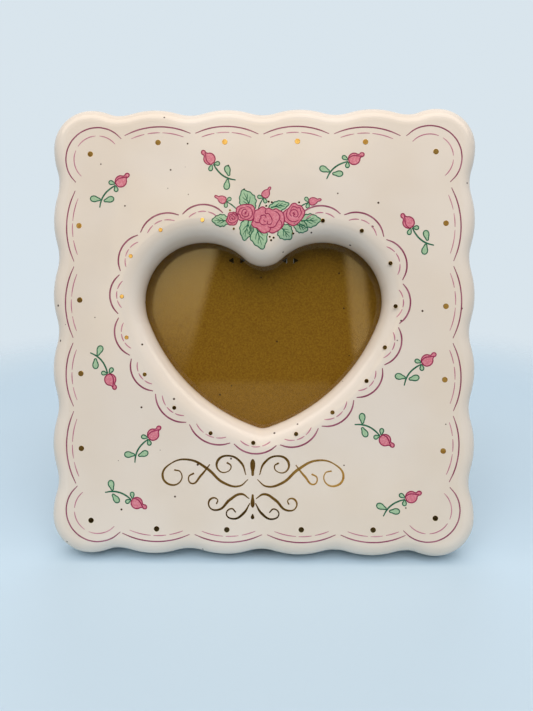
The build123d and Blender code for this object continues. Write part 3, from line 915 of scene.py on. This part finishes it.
def clear_away(tree, shader, share):
    """Clears a finish away by a share of 0 to 1."""
    clear = add_node(tree, "ShaderNodeBsdfTransparent").outputs[0]
    blend = add_node(tree, "ShaderNodeMixShader", i0=share, i1=shader.outputs[0], i2=clear)
    tree.links.new(blend.outputs[0], tree.nodes["Material Output"].inputs["Surface"])


pane_glass, tree, shader = new_finish("pane_glass")
shader.inputs["Base Color"].default_value = GLASS_TINT
shader.inputs["Transmission Weight"].default_value = 1.0
shader.inputs["IOR"].default_value = GLASS_IOR
haze = spread(tree, clouds(tree, *SMEAR_CLOUDS), 0.0, HAZE_ROUGHNESS, *HAZE_RANGE)
tree.links.new(haze, shader.inputs["Roughness"])
rays = add_node(tree, "ShaderNodeLightPath").outputs
clear_away(tree, shader, arithmetic(tree, "MAXIMUM", rays["Is Shadow Ray"], rays["Is Diffuse Ray"]))
wear_finish("glass_pane", pane_glass)

# Back board and easel leg: tempered hardboard, sawn to shape. It is pressed wood fibre with a smooth face,
# fine light and dark flecks and a few burnt specks.
BOARD_DARK = tone(113, 76, 8)
BOARD_LIGHT = tone(142, 104, 21)
BOARD_SPECK = tone(34, 22, 12)
BOARD_ROUGHNESS = 0.62
BOARD_SHINE = 0.2
FIBRE_CLOUDS = (1250.0, 3.0, 0.65)
FIBRE_RANGE = (0.25, 0.75)
FIBRE_STRENGTH = 0.25
FIBRE_DEPTH = 0.3 * MM
BURNT_SCALE = 110.0
BURNT_RANGE = (0.06, 0.035)
hardboard, tree, shader = new_finish("hardboard")
fibre = clouds(tree, *FIBRE_CLOUDS)
flecked = mixed(tree, ramped(tree, fibre, *FIBRE_RANGE), BOARD_DARK, BOARD_LIGHT)
burnt = ramped(tree, scatter(tree, BURNT_SCALE), *BURNT_RANGE)
tree.links.new(mixed(tree, burnt, flecked, BOARD_SPECK), shader.inputs["Base Color"])
shader.inputs["Roughness"].default_value = BOARD_ROUGHNESS
shader.inputs["Specular IOR Level"].default_value = BOARD_SHINE
relief = add_node(tree, "ShaderNodeBump", Height=fibre, Strength=FIBRE_STRENGTH, Distance=FIBRE_DEPTH)
tree.links.new(relief.outputs["Normal"], shader.inputs["Normal"])
wear_finish("back_board", hardboard)
wear_finish("easel_leg", hardboard)

# Hinge, turn buttons and screws: pressed and turned mild steel, bright nickel plated, a little dulled and
# scratched by handling.
STEEL = tone(196, 192, 182)
STEEL_DULL = tone(170, 166, 156)
DULL_CLOUDS = (160.0, 4.0)
DULL_RANGE = (0.4, 0.75)
SCUFF_CLOUDS = (2200.0, 2.0)
BRIGHT_ROUGHNESS = 0.2
SCUFFED_ROUGHNESS = 0.42
plated_steel, tree, shader = new_finish("plated_steel")
dulled = ramped(tree, clouds(tree, *DULL_CLOUDS), *DULL_RANGE)
tree.links.new(mixed(tree, dulled, STEEL, STEEL_DULL), shader.inputs["Base Color"])
shader.inputs["Metallic"].default_value = 1.0
polish = spread(tree, clouds(tree, *SCUFF_CLOUDS), BRIGHT_ROUGHNESS, SCUFFED_ROUGHNESS)
tree.links.new(polish, shader.inputs["Roughness"])
for name in ("hinge_pin", "leg_hinge_leaf", "turn_button_screws"):
    wear_finish(name, plated_steel)
for corner in ("top_left", "top_right", "bottom_left", "bottom_right"):
    wear_finish("turn_button_" + corner, plated_steel)

# Board leaf of the hinge: the same plated steel, but its teeth were lanced after plating and hammered over
# on the front of the board, so their ends are bare; they are painted a dull dark brown, matt and without
# metal or sheen, as painted shade for the shadow and dark reflection they lie in under the heart's rim.
TEETH_PAINTED_SHADE = tone(44, 32, 14)
BOARD_FRONT = -19.2 * MM
TEETH_FADE = 0.4 * MM
leaf_steel = plated_steel.copy()
leaf_steel.name = "hinge_leaf_steel"
tree = leaf_steel.node_tree
shader = tree.nodes["Principled BSDF"]
bright = shader.inputs["Base Color"].links[0].from_socket
face_out = face_to_frame.to_3x3() @ Vector((0.0, 0.0, 1.0))
along_out = {"operation": "DOT_PRODUCT"}
outwards = add_node(tree, "ShaderNodeVectorMath", along_out, i0=own_place(tree), i1=face_out[:])
board_level = FACE_FOOT.dot(face_out) + BOARD_FRONT
clinched = ramped(tree, outwards.outputs["Value"], board_level - TEETH_FADE, board_level)
# painted shade: the clinched teeth take a dark brown and lose their metal, standing in for the shadow under
# the rim
tree.links.new(mixed(tree, clinched, bright, TEETH_PAINTED_SHADE), shader.inputs["Base Color"])
plating = arithmetic(tree, "SUBTRACT", 1.0, clinched)
tree.links.new(plating, shader.inputs["Metallic"])
shader.inputs["Specular IOR Level"].default_value = 0.0
wear_finish("board_hinge_leaf", leaf_steel)

# Camera: a wide lens close to the frame, square on to the leaning face apart from three small turns, as
# the photograph was taken. It aims at a point on the face, given across and up.
PHOTO_LONG_SIDE = 711.0
FOCAL_PIXELS = 588.9
CAMERA_DISTANCE = 260.0 * MM
CAMERA_YAW = radians(1.27)
CAMERA_PITCH = radians(-0.13)
CAMERA_ROLL = radians(0.17)
AIM_ACROSS = 1.94 * MM
AIM_UP = 89.78 * MM
SENSOR_WIDTH = 36.0
NEAREST_SEEN = 10.0 * MM
bpy.ops.object.camera_add()
camera = bpy.context.object
camera.data.sensor_width = SENSOR_WIDTH
camera.data.lens = FOCAL_PIXELS / PHOTO_LONG_SIDE * SENSOR_WIDTH
camera.data.clip_start = NEAREST_SEEN
stand = Matrix.Translation((AIM_ACROSS, AIM_UP, 0.0)) @ Matrix.Rotation(CAMERA_YAW, 4, "Y")
stand = stand @ Matrix.Rotation(CAMERA_PITCH, 4, "X") @ Matrix.Rotation(CAMERA_ROLL, 4, "Z")
camera.matrix_world = face_to_frame @ stand @ Matrix.Translation((0.0, 0.0, CAMERA_DISTANCE))
bpy.context.scene.camera = camera

# Floor: a plain pale blue sheet that the frame stands on, in metres as all of the studio is. It is whole
# round a point a little behind the frame and clears away to the backdrop further out.
FLOOR_BLUE = tone(198, 221, 238)
FLOOR_MIDDLE = (0.0, 0.12, 0.0)
FLOOR_WHOLE = 0.22
FLOOR_GONE = 0.45
FLOOR_SIZE = 6.0
FLOOR_ROUGHNESS = 0.8
bpy.ops.object.select_all(action="DESELECT")
bpy.ops.mesh.primitive_plane_add(size=FLOOR_SIZE)
floor = bpy.context.object
floor.name = "floor"
floor_finish, tree, shader = new_finish("floor_blue")
shader.inputs["Base Color"].default_value = FLOOR_BLUE
shader.inputs["Roughness"].default_value = FLOOR_ROUGHNESS
apart = {"operation": "DISTANCE"}
reach = add_node(tree, "ShaderNodeVectorMath", apart, i0=own_place(tree), i1=FLOOR_MIDDLE)
clear_away(tree, shader, ramped(tree, reach.outputs["Value"], FLOOR_WHOLE, FLOOR_GONE))
floor.data.materials.append(floor_finish)

# Reflected card: a dim warm wall with lit panels behind the camera, seen only in what the pane, the glaze
# and the gold mirror. Each panel has its left, right, lower and upper edge, slant, edge softness, fade at
# the foot and strength.
CARD_REACH = 1.5
CARD_RISE = 0.35
CARD_HALF = 1.0
CARD_WARM = tone(255, 225, 162)
CARD_DARK = 0.02
LIT_PANELS = [
    (-0.51, -0.2, -0.24, 0.27, 0.25, 0.02, 0.14, 1.15),
    (-0.36, -0.2, -0.1, 0.27, 0.25, 0.02, 0.1, 0.5),
    (0.21, 0.265, -0.27, 0.05, -0.09, 0.015, 0.04, 1.25),
    (-0.24, 0.16, -0.47, -0.345, 0.0, 0.015, 0.02, 0.42),
    (-0.26, 0.25, 0.31, 1.1, 0.0, 0.05, 0.05, 0.9),
    (-1.1, 1.1, 0.31, 1.1, 0.0, 0.05, 0.05, 0.35),
    (0.45, 1.1, -0.62, 0.26, 0.0, 0.05, 0.05, 0.4),
    (-1.1, -0.57, -0.62, 0.04, 0.0, 0.02, 0.05, 0.14),
    (-1.1, -0.57, 0.04, 0.24, 0.0, 0.02, 0.02, 0.65),
    (-0.5, 0.06, -0.72, -0.57, 0.0, 0.05, 0.04, 0.16),
    (0.06, 0.4, -0.72, -0.57, 0.0, 0.05, 0.04, 0.5),
]
bpy.ops.object.select_all(action="DESELECT")
bpy.ops.mesh.primitive_plane_add(size=2 * CARD_HALF)
card = bpy.context.object
card.name = "reflected_card"
card.matrix_world = face_to_frame @ Matrix.Translation((0.0, CARD_RISE, CARD_REACH))
card_finish, tree = new_finish("card_glow")[:2]
sides = add_node(tree, "ShaderNodeSeparateXYZ", Vector=own_place(tree)).outputs
across, up = sides["X"], sides["Y"]
brightness = CARD_DARK
for left, right, foot, head, slant, soft, fade, strength in LIT_PANELS:
    slanted = arithmetic(tree, "ADD", across, arithmetic(tree, "MULTIPLY", up, -slant))
    edges = (
        ramped(tree, slanted, left - soft, left + soft),
        ramped(tree, slanted, right + soft, right - soft),
        ramped(tree, up, foot - fade, foot + fade),
        ramped(tree, up, head + soft, head - soft),
    )
    panel = strength
    for edge in edges:
        panel = arithmetic(tree, "MULTIPLY", edge, panel)
    brightness = arithmetic(tree, "ADD", panel, brightness)
glow = add_node(tree, "ShaderNodeEmission", Color=CARD_WARM, Strength=brightness)
tree.links.new(glow.outputs[0], tree.nodes["Material Output"].inputs["Surface"])
card.data.materials.append(card_finish)
card.visible_camera = False
card.visible_diffuse = False
card.visible_shadow = False

# Lamps: a warm soft one overhead, and two broad fill lamps, in front and behind. Only the one overhead
# shows in what the glaze and the steel mirror.
KEY_COLOUR = (1.0, 0.83, 0.69)
FILL_COLOUR = (1.0, 0.985, 0.98)
KEY_POWER = 2.7
KEY_SIZE = (1.5, 0.3)
KEY_PLACE = Vector((0.0, -0.12, 0.7))
LAMP_AIM = Vector((0.0, 0.0, 0.10))
FRONT_POWER = 12.6
FRONT_SIZE = (1.6, 0.9)
FRONT_PLACE = Vector((0.0, -0.85, 1.05))
BACK_POWER = 3.0
BACK_SIZE = (0.9, 0.5)
BACK_PLACE = Vector((0.0, 0.8, 0.5))
for name, colour, power, size, spot in (
    ("key", KEY_COLOUR, KEY_POWER, KEY_SIZE, KEY_PLACE),
    ("front_fill", FILL_COLOUR, FRONT_POWER, FRONT_SIZE, FRONT_PLACE),
    ("back_fill", FILL_COLOUR, BACK_POWER, BACK_SIZE, BACK_PLACE),
):
    bpy.ops.object.light_add(type="AREA")
    lamp = bpy.context.object
    lamp.name = name
    lamp.data.shape = "RECTANGLE"
    lamp.data.size, lamp.data.size_y = size
    lamp.data.energy = power
    lamp.data.color = colour
    lamp.location = spot
    lamp.rotation_euler = (LAMP_AIM - spot).to_track_quat("-Z", "Y").to_euler()
    lamp.visible_camera = False
    lamp.visible_glossy = name == "key"

# Room: an even pale backdrop all round, at its full strength where it is seen, mirrored or looked at
# through the pane, and low as a light on the frame.
ROOM_BLUE = tone(222, 234, 242)
ROOM_SEEN = 0.95
ROOM_LIGHT = 0.24
room = bpy.data.worlds.new("room")
bpy.context.scene.world = room
room.use_nodes = True
tree = room.node_tree
backdrop = tree.nodes["Background"]
backdrop.inputs["Color"].default_value = ROOM_BLUE
rays = add_node(tree, "ShaderNodeLightPath").outputs
seen = arithmetic(tree, "MAXIMUM", rays["Is Camera Ray"], rays["Is Glossy Ray"])
seen_through = arithmetic(tree, "MAXIMUM", seen, rays["Is Transmission Ray"])
tree.links.new(spread(tree, seen_through, ROOM_LIGHT, ROOM_SEEN), backdrop.inputs["Strength"])
bpy.context.scene.view_settings.view_transform = "Standard"
